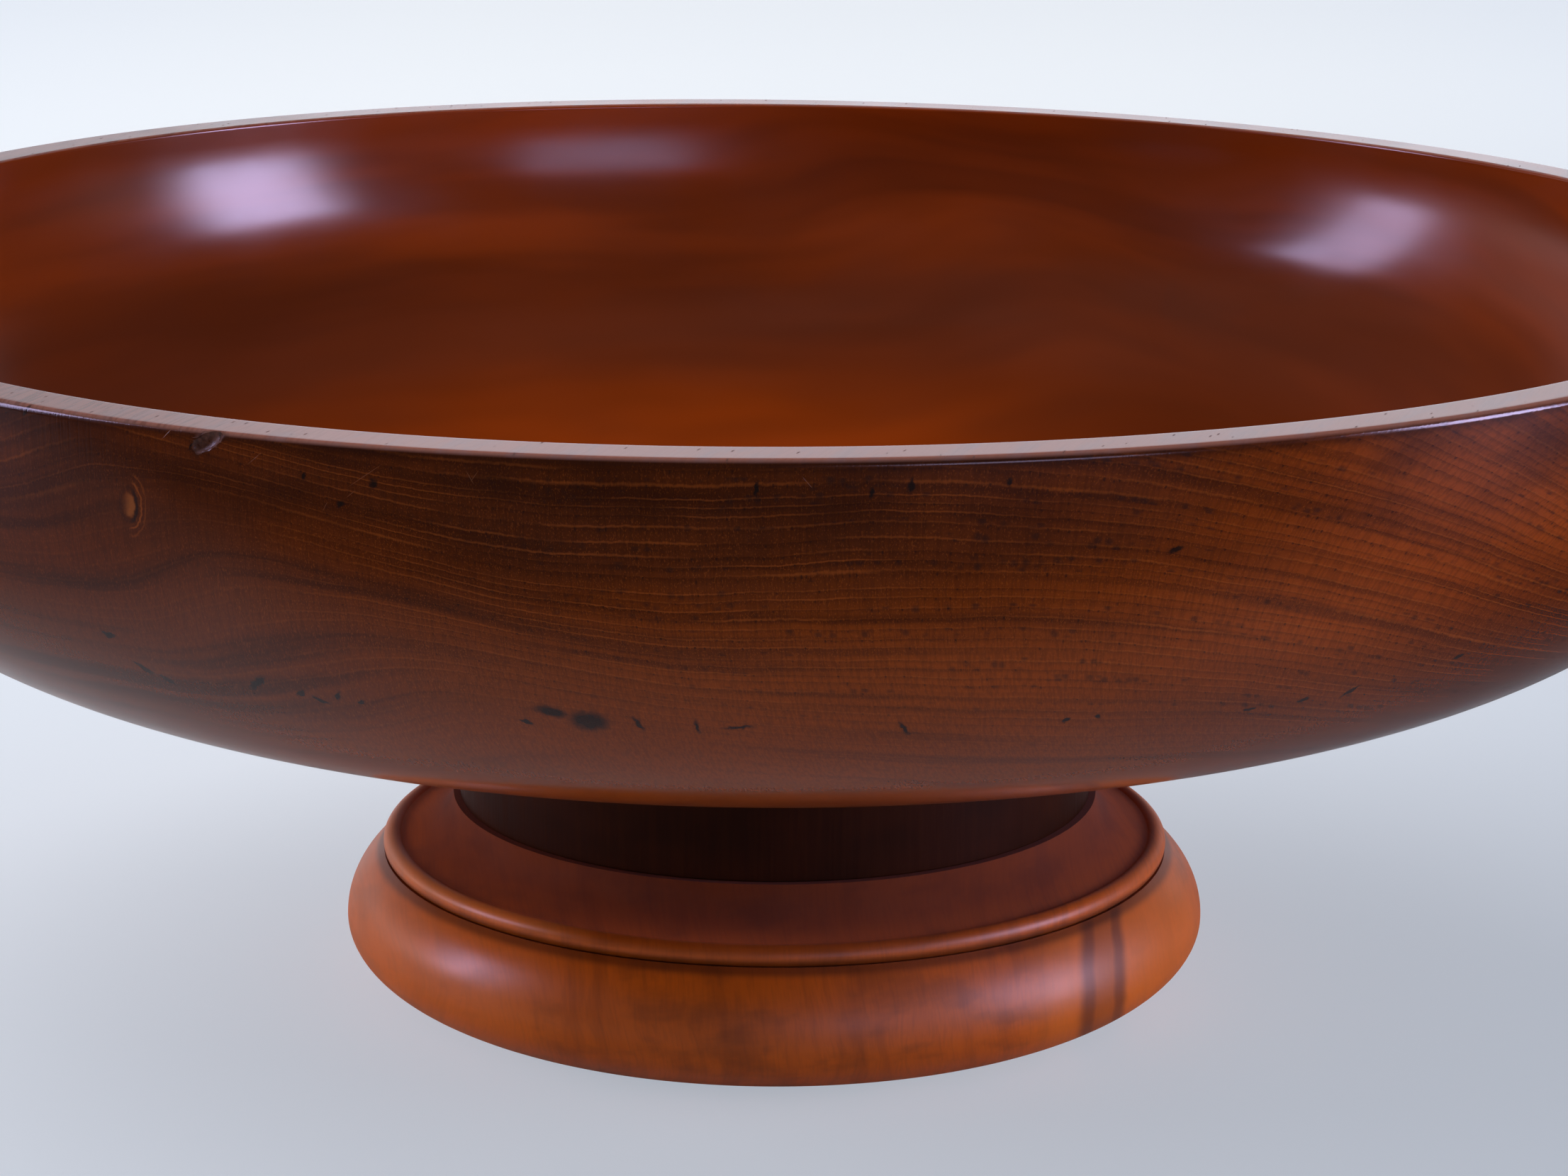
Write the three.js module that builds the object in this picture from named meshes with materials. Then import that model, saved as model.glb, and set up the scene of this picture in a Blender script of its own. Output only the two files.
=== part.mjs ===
// Footed platter: a deep turned mahogany bowl on a dark neck and a moulded foot.
// Millimetres, +Z up, with the origin at the centre of the foot's standing face.
// Each piece is turned in the lathe, so each is one profile spun about the Z axis.
import * as THREE from "three";

// Facets
const TURNED_SIDES = 72; // flats round each turned piece
const CURVE_STEPS = 20; // chords along each long curve of the bowl
const ROUND_STEPS = 8; // chords along a quarter of the foot's torus, and along its cove
const BEAD_STEPS = 7; // chords round the small bead
const EDGE_STEPS = 3; // chords round an eased edge

// Bowl, outside
const rimRadius = 150; // rim radius, so the platter is 300 across
const rimHeight = 114; // height of the flat rim above the table
const rimWidth = 7.4; // width of the flat band on top of the wall
const rimOuterEase = 1.0; // rounding of the rim's outer edge
const rimInnerEase = 0.6; // rounding of the rim's inner edge
const wallFall = 52.6; // how far the outer wall falls before it turns in
const bellyReach = 58.7; // how far the nearly flat underside reaches out from the neck
const bellyRise = 7.7; // what the underside rises over that reach

// Bowl, inside
const floorThickness = 12.2; // wood at the centre of the bowl, above the neck
const insideFall = 45; // how far the inner wall falls before it turns in
const insideReach = 93; // how far the nearly level floor reaches out from the centre

// Neck
const neckRadius = 47.7;
const neckHeight = 19.5; // what shows between the foot and the bowl
const tenonRadius = 30; // round tenon on each end of the neck
const upperTenonLength = 5; // into the bowl's underside
const lowerTenonLength = 14; // into the foot
const glueGap = 0.3; // round each tenon and past its end

// Foot
const footRadius = 65; // widest radius, on the torus
const torusMidHeight = 10.5; // height of that widest line
const torusUnderReach = 20; // how far the torus tucks in under itself
const torusTopReach = 15.8; // half width of the ellipse that shapes the torus's shoulder
const torusTopRise = 13.1; // and its half height
const quirkInset = 5.7; // from the widest line in to the groove above the torus
const quirkDepth = 1.5; // how far the groove cuts in behind the torus's edge
const quirkFall = 0.4; // and down behind it
const beadRadius = 1.6; // small bead that stands in the groove
const beadTurn = 130; // degrees from the bead's widest line back over its top to the cove
const coveRise = 6.2; // height of the cove
const ledgeWidth = 1.0; // flat on the cove's top edge, outside the neck
const standingWidth = 9; // flat ring that meets the table
const hollowDepth = 3.5; // hollow turned into the underside
const hollowReach = 8; // width of the curve at that hollow's edge

// Points of a curve, without its first point where the profile already has it.
function pointsOf(curve, steps, skipFirst = true) {
  const points = curve.getPoints(steps);
  return skipFirst ? points.slice(1) : points;
}

// A stretch of an ellipse about (r, z), from one angle to another, in degrees from the outward radius.
function ellipse(r, z, halfWidth, halfHeight, fromDegrees, toDegrees) {
  const from = THREE.MathUtils.degToRad(fromDegrees);
  const to = THREE.MathUtils.degToRad(toDegrees);
  return new THREE.EllipseCurve(r, z, halfWidth, halfHeight, from, to, toDegrees < fromDegrees);
}

function bezier(...corners) {
  return new THREE.CubicBezierCurve(...corners);
}

function at(r, z) {
  return new THREE.Vector2(r, z);
}

// Spins a closed profile of (radius, height) points about Z. The profile runs anticlockwise, from axis to axis.
function turned(name, profile, material) {
  const geometry = new THREE.LatheGeometry(profile, TURNED_SIDES);
  geometry.rotateX(Math.PI / 2);
  const mesh = new THREE.Mesh(geometry, material);
  mesh.name = name;
  return mesh;
}

// The foot's outline, from the standing ring up over torus, groove and bead to the cove's top edge.
function footOutline() {
  const standingRadius = footRadius - torusUnderReach;
  const quirkRadius = footRadius - quirkInset;
  const quirkAngle = THREE.MathUtils.radToDeg(Math.acos(1 - quirkInset / torusTopReach));
  const shoulder = ellipse(
    footRadius - torusTopReach, torusMidHeight, torusTopReach, torusTopRise, 0, quirkAngle,
  );
  const quirkHeight = shoulder.getPoint(1).y;

  const beadCentre = at(quirkRadius - quirkDepth, quirkHeight - quirkFall + beadRadius);
  const bead = ellipse(beadCentre.x, beadCentre.y, beadRadius, beadRadius, -90, beadTurn);
  const coveFoot = bead.getPoint(1);

  const edgeRadius = neckRadius + ledgeWidth;
  const coveReach = coveFoot.x - edgeRadius;
  const coveTop = coveFoot.y + coveRise;
  const cove = ellipse(coveFoot.x, coveTop, coveReach, coveRise, -90, -180);

  const under = ellipse(standingRadius, torusMidHeight, torusUnderReach, torusMidHeight, -90, 0);
  return [
    ...pointsOf(under, ROUND_STEPS, false),
    ...pointsOf(shoulder, ROUND_STEPS),
    ...pointsOf(bead, BEAD_STEPS, false),
    ...pointsOf(cove, ROUND_STEPS),
  ];
}

const footSection = footOutline();
const footHeight = footSection[footSection.length - 1].y;
const seatHeight = footHeight + neckHeight; // where the bowl sits on the neck
const mortiseRadius = tenonRadius + glueGap;

// Moulded foot with a blind mortise from above and a shallow hollow below.
function makeFoot(material) {
  const ringRadius = footSection[0].x - standingWidth;
  const mortiseFloor = footHeight - lowerTenonLength - glueGap;
  const hollow = ellipse(ringRadius - hollowReach, 0, hollowReach, hollowDepth, 90, 0);
  const profile = [
    at(0, hollowDepth),
    ...pointsOf(hollow, ROUND_STEPS, false),
    ...footSection,
    at(mortiseRadius, footHeight),
    at(mortiseRadius, mortiseFloor),
    at(0, mortiseFloor),
  ];
  return turned("foot", profile, material);
}

// Dark neck with a round tenon on each end. Its shoulders seat on the foot and under the bowl.
function makeNeck(material) {
  const profile = [
    at(0, footHeight - lowerTenonLength),
    at(tenonRadius, footHeight - lowerTenonLength),
    at(tenonRadius, footHeight),
    at(neckRadius, footHeight),
    at(neckRadius, seatHeight),
    at(tenonRadius, seatHeight),
    at(tenonRadius, seatHeight + upperTenonLength),
    at(0, seatHeight + upperTenonLength),
  ];
  return turned("neck", profile, material);
}

// Bowl: nearly flat underside, wall that curves up to stand almost straight, and a flat rim.
function makeBowl(material) {
  const mortiseTop = seatHeight + upperTenonLength + glueGap;
  const floorHeight = seatHeight + floorThickness;
  const innerRadius = rimRadius - rimWidth;
  const outside = bezier(
    at(neckRadius, seatHeight),
    at(neckRadius + bellyReach, seatHeight + bellyRise),
    at(rimRadius, rimHeight - rimOuterEase - wallFall),
    at(rimRadius, rimHeight - rimOuterEase),
  );
  const inside = bezier(
    at(innerRadius, rimHeight - rimInnerEase),
    at(innerRadius, rimHeight - rimInnerEase - insideFall),
    at(insideReach, floorHeight),
    at(0, floorHeight),
  );
  const outerEdge = ellipse(
    rimRadius - rimOuterEase, rimHeight - rimOuterEase, rimOuterEase, rimOuterEase, 0, 90,
  );
  const innerEdge = ellipse(
    innerRadius + rimInnerEase, rimHeight - rimInnerEase, rimInnerEase, rimInnerEase, 90, 180,
  );
  const profile = [
    at(0, mortiseTop),
    at(mortiseRadius, mortiseTop),
    at(mortiseRadius, seatHeight),
    ...pointsOf(outside, CURVE_STEPS, false),
    ...pointsOf(outerEdge, EDGE_STEPS),
    ...pointsOf(innerEdge, EDGE_STEPS, false),
    ...pointsOf(inside, CURVE_STEPS),
  ];
  return turned("bowl", profile, material);
}

// Polished mahogany, and the near-black neck between its two pieces.
const bowlWood = new THREE.MeshStandardMaterial({ color: 0x5e2b18, roughness: 0.32, metalness: 0 });
const footWood = new THREE.MeshStandardMaterial({ color: 0x7a3413, roughness: 0.34, metalness: 0 });
const neckWood = new THREE.MeshStandardMaterial({ color: 0x1d0f0a, roughness: 0.4, metalness: 0 });

const platter = new THREE.Group();
platter.add(makeFoot(footWood), makeNeck(neckWood), makeBowl(bowlWood));

export default platter;
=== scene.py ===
"""Looks of the footed platter: a turned mahogany bowl, a dark neck and a moulded foot, on a pale floor."""

import math

import bmesh
import bpy
from mathutils import Euler, Matrix, Vector
from mathutils.geometry import interpolate_bezier


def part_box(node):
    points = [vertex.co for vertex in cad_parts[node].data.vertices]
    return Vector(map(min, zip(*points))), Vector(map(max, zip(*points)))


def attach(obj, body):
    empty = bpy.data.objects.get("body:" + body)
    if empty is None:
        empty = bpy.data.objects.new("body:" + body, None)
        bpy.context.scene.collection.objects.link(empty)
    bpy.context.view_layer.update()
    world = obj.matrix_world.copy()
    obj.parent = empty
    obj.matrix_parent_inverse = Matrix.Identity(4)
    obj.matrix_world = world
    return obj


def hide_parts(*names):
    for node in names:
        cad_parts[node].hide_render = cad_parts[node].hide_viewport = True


bl_info = {
    "name": "Footed platter",
    "version": (1, 0, 0),
    "blender": (4, 5, 0),
    "location": "View3D > Sidebar > Platter",
    "description": "Turns and finishes a mahogany platter on a dark neck and a moulded foot",
    "category": "Object",
}

MM = 0.001
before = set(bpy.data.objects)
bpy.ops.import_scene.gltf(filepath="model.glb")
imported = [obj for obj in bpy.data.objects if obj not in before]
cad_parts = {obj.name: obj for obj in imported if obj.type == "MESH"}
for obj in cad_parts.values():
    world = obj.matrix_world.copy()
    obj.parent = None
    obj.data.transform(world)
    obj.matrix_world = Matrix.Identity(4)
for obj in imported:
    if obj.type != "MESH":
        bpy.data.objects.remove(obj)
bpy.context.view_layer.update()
BOWL_LOW, BOWL_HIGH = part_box("bowl")
NECK_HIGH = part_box("neck")[1]
FOOT_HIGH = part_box("foot")[1]

# Turning
SIDES = 288  # flats round each turned piece
SHARP_ANGLE = math.radians(34)  # edges that fold more than this stay crisp
LONG_CURVE, SHORT_CURVE = 56, 14  # chords along a long and a short stretch of a profile
WELD = 0.002  # points this close together become one, mm

# Joints inside, hidden. These are the solids' own sizes.
TENON_RADIUS = 30.0
UPPER_TENON, LOWER_TENON = 5.0, 14.0
GLUE_GAP = 0.3

# Sockets of a Mix node: its factor, its two numbers, and its two colours and their mix
FACTOR, NUMBER_A, NUMBER_B, COLOUR_A, COLOUR_B, MIXED = 0, 2, 3, 6, 7, 2
SOFT = {"interpolation_type": "SMOOTHSTEP"}  # a Map Range that eases in and out

# Thin old wax over wood: the open pores keep its gloss a little below that of varnish
WAX = {"IOR": 1.5, "Specular IOR Level": 0.36}
# A dry stain has hardly any gloss
DRY_STAIN = {"IOR": 1.5, "Specular IOR Level": 0.06}


def linear(hex_value):
    """An sRGB hex colour such as 0x7A3B1F as linear red, green and blue."""
    channels = [(hex_value >> shift & 255) / 255 for shift in (16, 8, 0)]
    return tuple(c / 12.92 if c <= 0.04045 else ((c + 0.055) / 1.055) ** 2.4 for c in channels)


def number(name, description, default, **limits):
    """A number that a user can change."""
    return bpy.props.FloatProperty(name=name, description=description, default=default, **limits)


def size(name, description, default):
    """A length in millimetres that a user can change."""
    return number(name, description, default, min=0.0)


def strength(name, description, default):
    """A level of light that a user can change. 1 is white."""
    return number(name, description, default, min=0.0)


def colour(name, description, default):
    """A colour that a user can change. Its default is an sRGB hex value."""
    return bpy.props.FloatVectorProperty(
        name=name, description=description, default=linear(default),
        size=3, min=0.0, max=1.0, subtype="COLOR",
    )


class BowlSettings(bpy.types.PropertyGroup):
    rim_radius: size("Rim radius", "From the axis to the outside of the rim, mm", BOWL_HIGH.x / MM)
    rim_height: size("Rim height", "Height of the flat rim, mm", BOWL_HIGH.z / MM)
    seat_height: size("Seat height", "Height of the underside on the neck, mm", BOWL_LOW.z / MM)
    seat_radius: size("Seat radius", "Where the underside starts, mm", NECK_HIGH.x / MM)
    rim_width: size("Rim width", "Width of the flat band on the wall, mm", 7.4)
    outer_ease: size("Outer ease", "Rounding of the rim's outer edge, mm", 1.0)
    inner_ease: size("Inner ease", "Rounding of the rim's inner edge, mm", 0.6)
    wall_fall: size("Wall fall", "How far the outer wall falls before it turns in, mm", 52.6)
    belly_reach: size("Belly reach", "How far the underside reaches out from the neck, mm", 58.7)
    belly_rise: size("Belly rise", "What the underside rises over that reach, mm", 7.7)
    floor_thickness: size("Floor thickness", "Wood above the neck, mm", 12.2)
    inside_fall: size("Inside fall", "How far the inner wall falls before it turns in, mm", 45.0)
    inside_reach: size("Inside reach", "How far the level floor reaches from the centre, mm", 93.0)
    twist: size("Twist", "Height that the rim has warped at its four quarters, mm", 0.49)
    lean: size("Lean", "Height that the rim has risen at the left, mm", 0.40)


class NeckSettings(bpy.types.PropertyGroup):
    radius: size("Radius", "Radius of the neck, mm", NECK_HIGH.x / MM)
    ease: size("Ease", "Rounding of the neck's edges, mm", 0.25)


class FootSettings(bpy.types.PropertyGroup):
    radius: size("Radius", "Widest radius, on the torus, mm", FOOT_HIGH.x / MM)
    height: size("Height", "Height of the foot, mm", FOOT_HIGH.z / MM)
    torus_height: size("Torus height", "Height of the torus's widest line, mm", 10.5)
    under_reach: size("Under reach", "How far the torus tucks in below, mm", 20.0)
    top_reach: size("Top reach", "Half width of the torus's shoulder, mm", 15.8)
    top_rise: size("Top rise", "Half height of the torus's shoulder, mm", 13.1)
    quirk_inset: size("Quirk inset", "From the widest line in to the groove, mm", 5.7)
    quirk_depth: size("Quirk depth", "How far the groove cuts in behind the torus, mm", 1.5)
    quirk_fall: size("Quirk fall", "How far the groove falls behind the torus, mm", 0.4)
    bead_radius: size("Bead radius", "Radius of the small bead, mm", 1.6)
    ledge: size("Ledge", "Flat on the cove's top edge, outside the neck, mm", 1.0)
    standing_width: size("Standing width", "Flat ring that meets the table, mm", 9.0)
    hollow_depth: size("Hollow depth", "Hollow in the underside, mm", 3.5)
    hollow_reach: size("Hollow reach", "Width of the curve at the hollow's edge, mm", 8.0)


class WoodSettings(bpy.types.PropertyGroup):
    side: colour("Side grain", "Waxed mahogany along the grain", 0x9C4408)
    end: colour("End grain", "Waxed mahogany across the grain, which takes up more oil", 0x743009)
    line: colour("Growth line", "Thin pale line that closes each season's growth", 0xA85018)
    gum: colour("Gum", "Dark gum in the pores, and old spots", 0x1E1512)
    # The rim's pale pink is partly wear and partly a painted reflection of the bright backdrop on the flat
    # top
    rim: colour("Rim", "The rim's flat top, worn pale by hands", 0xA86E62)
    raw: colour("Raw wood", "Bare wood in hair scratches", 0x8E5232)
    foot: colour("Foot", "The foot's redder and lighter mahogany", 0xD8640C)
    foot_dark: colour("Foot streaks", "Dark streaks and bands in the foot", 0x5A2612)
    neck: colour("Neck", "Near-black stained wood", 0x381506)


class StageSettings(bpy.types.PropertyGroup):
    lens: number("Lens", "Focal length on a 36 mm sensor, mm", 96.91)
    distance: size("Distance", "From the camera to its target, mm", 634.6)
    elevation: number("Elevation", "Of the camera above its target, degrees", 14.36)
    roll: number("Roll", "Turn of the camera about its view, degrees", 0.205)
    target_x: number("Target X", "What the camera looks at, to the right of the axis, mm", 1.31)
    target_z: number("Target Z", "And above the floor, mm", 59.91)
    floor_near: colour("Floor, near", "Pale floor below the camera", 0xEAF2FF)
    # painted shade: the floor at the front right made darker and duller
    shaded_floor_right: colour("Floor, right", "Duller floor at the right", 0xC2CAD9)
    floor_far: colour("Floor, far", "Paler floor behind the platter", 0xF3F8FF)
    plain_near: strength("Floor level, near", "How pale the near floor looks without light and shadow", 0.98)
    plain_far: strength("Floor level, far", "How pale the far floor looks without light and shadow", 1.15)
    air: colour("Air colour", "Colour of the even light from overhead", 0xE6EEFA)
    window: colour("Windows", "Colour of the soft windows", 0xD6CCFF)
    key: colour("Key", "Colour of the large soft light above and behind", 0xFFF8F0)
    sweep_strength: strength("Sweep", "Low white sweep behind the platter, as gloss shows it", 1.6)
    air_strength: strength("Air", "Even light from overhead, as the surfaces take it in", 0.45)
    room_strength: strength("Room", "Dim room in front", 0.04)
    window_strength: strength("Windows", "The windows at the sides", 12.0)
    key_strength: strength("Key", "The large soft light above and behind", 1.8)


# Profiles, in (radius, height) millimetres

def arc(centre, half_width, half_height, start, end, steps):
    """Points along an arc or a stretch of an ellipse. Angles are degrees from the outward radius."""
    angles = [math.radians(start + (end - start) * i / steps) for i in range(steps + 1)]
    return [(centre[0] + half_width * math.cos(a), centre[1] + half_height * math.sin(a)) for a in angles]


def sweep(knot, handle, other_handle, other_knot, steps):
    """Points along a cubic curve between two knots."""
    corners = [Vector((r, 0, z)) for r, z in (knot, handle, other_handle, other_knot)]
    return [(p.x, p.z) for p in interpolate_bezier(*corners, steps + 1)]


def outer_wall(bowl):
    top = bowl.rim_height - bowl.outer_ease
    return sweep(
        (bowl.seat_radius, bowl.seat_height),
        (bowl.seat_radius + bowl.belly_reach, bowl.seat_height + bowl.belly_rise),
        (bowl.rim_radius, top - bowl.wall_fall),
        (bowl.rim_radius, top),
        LONG_CURVE,
    )


def inner_wall(bowl):
    radius = bowl.rim_radius - bowl.rim_width
    top = bowl.rim_height - bowl.inner_ease
    floor = bowl.seat_height + bowl.floor_thickness
    return sweep(
        (radius, top), (radius, top - bowl.inside_fall), (bowl.inside_reach, floor), (0, floor), LONG_CURVE,
    )


def bowl_profile(bowl):
    inside = bowl.rim_radius - bowl.rim_width
    outer_centre = (bowl.rim_radius - bowl.outer_ease, bowl.rim_height - bowl.outer_ease)
    inner_centre = (inside + bowl.inner_ease, bowl.rim_height - bowl.inner_ease)
    mortise_radius = TENON_RADIUS + GLUE_GAP
    mortise_top = bowl.seat_height + UPPER_TENON + GLUE_GAP
    flat_margin = 0.5  # keeps the flat rim's shading flat
    return [
        (0, mortise_top),
        (mortise_radius, mortise_top),
        (mortise_radius, bowl.seat_height),
        *outer_wall(bowl),
        *arc(outer_centre, bowl.outer_ease, bowl.outer_ease, 0, 90, SHORT_CURVE)[1:],
        (outer_centre[0] - flat_margin, bowl.rim_height),
        (inner_centre[0] + flat_margin, bowl.rim_height),
        *arc(inner_centre, bowl.inner_ease, bowl.inner_ease, 90, 180, SHORT_CURVE),
        *inner_wall(bowl)[1:],
    ]


def neck_profile(neck, top, foot_top):
    r, e = neck.radius, neck.ease
    return [
        (0, foot_top - LOWER_TENON),
        (TENON_RADIUS, foot_top - LOWER_TENON),
        (TENON_RADIUS, foot_top),
        (r - 2 * e, foot_top),
        *arc((r - e, foot_top + e), e, e, -90, 0, SHORT_CURVE // 2),
        *arc((r - e, top - e), e, e, 0, 90, SHORT_CURVE // 2),
        (r - 2 * e, top),
        (TENON_RADIUS, top),
        (TENON_RADIUS, top + UPPER_TENON),
        (0, top + UPPER_TENON),
    ]


def foot_profile(foot, neck_radius):
    steps = LONG_CURVE // 2
    bead_turn = 130  # degrees from the bead's widest line back over its top to the cove
    quirk_angle = math.degrees(math.acos(1 - foot.quirk_inset / foot.top_reach))
    shoulder_centre = (foot.radius - foot.top_reach, foot.torus_height)
    shoulder = arc(shoulder_centre, foot.top_reach, foot.top_rise, 0, quirk_angle, steps)
    standing = foot.radius - foot.under_reach
    under = arc((standing, foot.torus_height), foot.under_reach, foot.torus_height, -90, 0, steps)
    bead_centre = (
        foot.radius - foot.quirk_inset - foot.quirk_depth,
        shoulder[-1][1] - foot.quirk_fall + foot.bead_radius,
    )
    bead = arc(bead_centre, foot.bead_radius, foot.bead_radius, -90, bead_turn, steps)
    bead_end, bead_top = bead[-1]
    cove_reach = bead_end - (neck_radius + foot.ledge)
    cove = arc((bead_end, foot.height), cove_reach, foot.height - bead_top, -90, -180, steps)
    ring = standing - foot.standing_width
    hollow = arc((ring - foot.hollow_reach, 0), foot.hollow_reach, foot.hollow_depth, 90, 0, SHORT_CURVE)
    mortise_radius = TENON_RADIUS + GLUE_GAP
    mortise_floor = foot.height - LOWER_TENON - GLUE_GAP
    return [
        (0, foot.hollow_depth),
        *hollow,
        *under,
        *shoulder[1:],
        *bead,
        *cove[1:],
        (mortise_radius, foot.height),
        (mortise_radius, mortise_floor),
        (0, mortise_floor),
    ]


# Turning and cutting

def turn(profile):
    """Spins a profile that runs from axis to axis into one closed solid, in metres."""
    bm = bmesh.new()
    line = [bm.verts.new((r * MM, 0, z * MM)) for r, z in profile]
    edges = [bm.edges.new(pair) for pair in zip(line, line[1:])]
    bmesh.ops.spin(
        bm, geom=line + edges, cent=(0, 0, 0), axis=(0, 0, 1), angle=math.tau, steps=SIDES, use_merge=True,
    )
    bmesh.ops.remove_doubles(bm, verts=bm.verts, dist=WELD * MM)
    bmesh.ops.recalc_face_normals(bm, faces=bm.faces)
    return bm


def finish_piece(bm, name, material, node):
    """Makes the object, and rides it on the body in place of its solid."""
    for face in bm.faces:
        face.smooth = True
    for edge in bm.edges:
        edge.smooth = edge.calc_face_angle(0.0) < SHARP_ANGLE
    mesh = bpy.data.meshes.new(name)
    bm.to_mesh(mesh)
    bm.free()
    mesh.materials.append(material)
    piece = bpy.data.objects.new(name, mesh)
    bpy.context.collection.objects.link(piece)
    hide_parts(node)
    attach(piece, "root")
    return piece


def on_wall(bowl, azimuth, height, outward=0.0):
    """A point on the bowl's outside. The azimuth runs in degrees from the front towards the right."""
    wall = outer_wall(bowl)
    radius = bowl.rim_radius
    for (r0, z0), (r1, z1) in zip(wall, wall[1:]):
        if z0 <= height <= z1:
            radius = r0 + (r1 - r0) * (height - z0) / (z1 - z0)
    a = math.radians(azimuth)
    return Vector(((radius + outward) * math.sin(a), -(radius + outward) * math.cos(a), height))


def placed(bowl, azimuth, height, turn_degrees, sizes, outward=0.0):
    """The matrix of an ellipsoid on the wall. Its half sizes run along the wall, into it and up, in mm."""
    centre = on_wall(bowl, azimuth, height, outward)
    facing = Euler((0, 0, math.radians(azimuth))).to_matrix().to_4x4()
    tilt = Euler((0, -math.radians(turn_degrees), 0)).to_matrix().to_4x4()
    return Matrix.Translation(centre) @ facing @ tilt @ Matrix.Diagonal((*sizes, 1.0))


def gouge(bm, shape, finer=4):
    """Cuts an ellipsoid out of the surface: finer faces round it, then what lies inside goes to its skin."""
    back = shape.inverted()
    reach = 1.9  # how far out the faces are made finer, where 1 is the ellipsoid's skin
    least = 1e-6  # a point nearer the centre than this has no direction to go

    def inside(point):
        return (back @ (point / MM)).length

    near = {edge for vert in bm.verts if inside(vert.co) < reach for edge in vert.link_edges}
    made = bmesh.ops.subdivide_edges(bm, edges=list(near), cuts=finer, use_grid_fill=True)
    for vert in {v for face in made["geom"] if isinstance(face, bmesh.types.BMFace) for v in face.verts}:
        local = back @ (vert.co / MM)
        if least < local.length < 1.0:
            vert.co = (shape @ local.normalized()) * MM


def rise(bowl, x, y):
    """How far the rim has moved up, in mm, where x and y run from -1 to 1 across it."""
    return -2 * bowl.twist * x * y - bowl.lean * x


def warp(bm, bowl):
    """Twists and leans the bowl a little, as drying does. Its seat stays flat, and its top in place."""
    angles = [math.tau * i / SIDES for i in range(SIDES)]
    highest = max(rise(bowl, math.cos(a), math.sin(a)) for a in angles)
    span = bowl.rim_height - bowl.seat_height
    for vert in bm.verts:
        x, y = vert.co.x / MM / bowl.rim_radius, vert.co.y / MM / bowl.rim_radius
        share = min(max((vert.co.z / MM - bowl.seat_height) / span, 0.0), 1.0)
        vert.co.z += share * (rise(bowl, x, y) - highest) * MM


# Materials

def node_adder(tree):
    """The one function that adds nodes to this tree."""

    def add(kind, *inputs, at=None, out=0, **settings):
        """Adds a node with its settings, and its inputs in order or by name. Gives one output, or all."""
        made = tree.nodes.new("ShaderNode" + kind)
        for name, value in settings.items():
            setattr(made, name, value)
        for key, value in [*enumerate(inputs), *(at or {}).items()]:
            if isinstance(value, bpy.types.NodeSocket):
                tree.links.new(value, made.inputs[key])
            elif value is not None:
                made.inputs[key].default_value = value
        if not made.outputs:
            return made
        return list(made.outputs) if out is None else made.outputs[out]

    return add


def new_material(name):
    material = bpy.data.materials.new(name)
    material.use_nodes = True
    material.node_tree.nodes.clear()
    return material, node_adder(material.node_tree)


def finish_material(add, base, roughness, height, relief, **constants):
    """Closes a material with its surface shader. relief is the height's depth in metres."""
    bump = add("Bump", at={"Height": height, "Distance": relief, "Strength": 1.0})
    add("OutputMaterial", add(
        "BsdfPrincipled", at={"Base Color": base, "Roughness": roughness, "Normal": bump, **constants},
    ))


def in_millimetres(add):
    """The object's own coordinates in millimetres."""
    return add("VectorMath", add("TexCoord", out="Object"), at={"Scale": 1 / MM}, operation="SCALE")


def clouds(add, place, lengths, detail=1.0, drift=0.0):
    """Soft clouds, from 0 to 1, about this long each way in mm. A length of None leaves that way out."""
    scales = tuple(0.0 if length is None else 1 / length for length in lengths)
    place = add("Mapping", place, (drift, drift, drift), None, scales)
    return add("TexNoise", at={"Vector": place, "Scale": 1.0, "Detail": detail})


def specks(add, place, lengths, edge, heart):
    """A mask of one speck in each cell, whose cells are this long each way in mm."""
    cells = add("Mapping", place, None, None, tuple(1 / length for length in lengths))
    return add("MapRange", add("TexVoronoi", cells, at={"Scale": 1.0}), edge, heart, **SOFT)


def weighted(add, total, *parts):
    """Adds measures to a total, each times a number."""
    for measure, share in parts:
        total = add("Math", measure, share, total, operation="MULTIPLY_ADD")
    return total


def gap(add, measure, value):
    """How far a measure is from this value, either way."""
    return add("Math", add("Math", measure, value, operation="SUBTRACT"), operation="ABSOLUTE")


def zone(add, *limits, within=None):
    """A mask of where all limits hold: each a measure, where it starts to hold and where it holds fully."""
    cover = within
    for measure, start, full in limits:
        eased = add("MapRange", measure, start, full, **SOFT)
        cover = eased if cover is None else add("Math", cover, eased, operation="MULTIPLY")
    return cover


def tinted(add, base, *coats):
    """Lays coats of colour over a base. Each is a mask, a strength and a colour."""
    for cover, share, tint in coats:
        factor = add("Math", cover, share, operation="MULTIPLY")
        mixed = {FACTOR: factor, COLOUR_A: base, COLOUR_B: (*tint, 1)}
        base = add("Mix", at=mixed, out=MIXED, data_type="RGBA")
    return base


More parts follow.
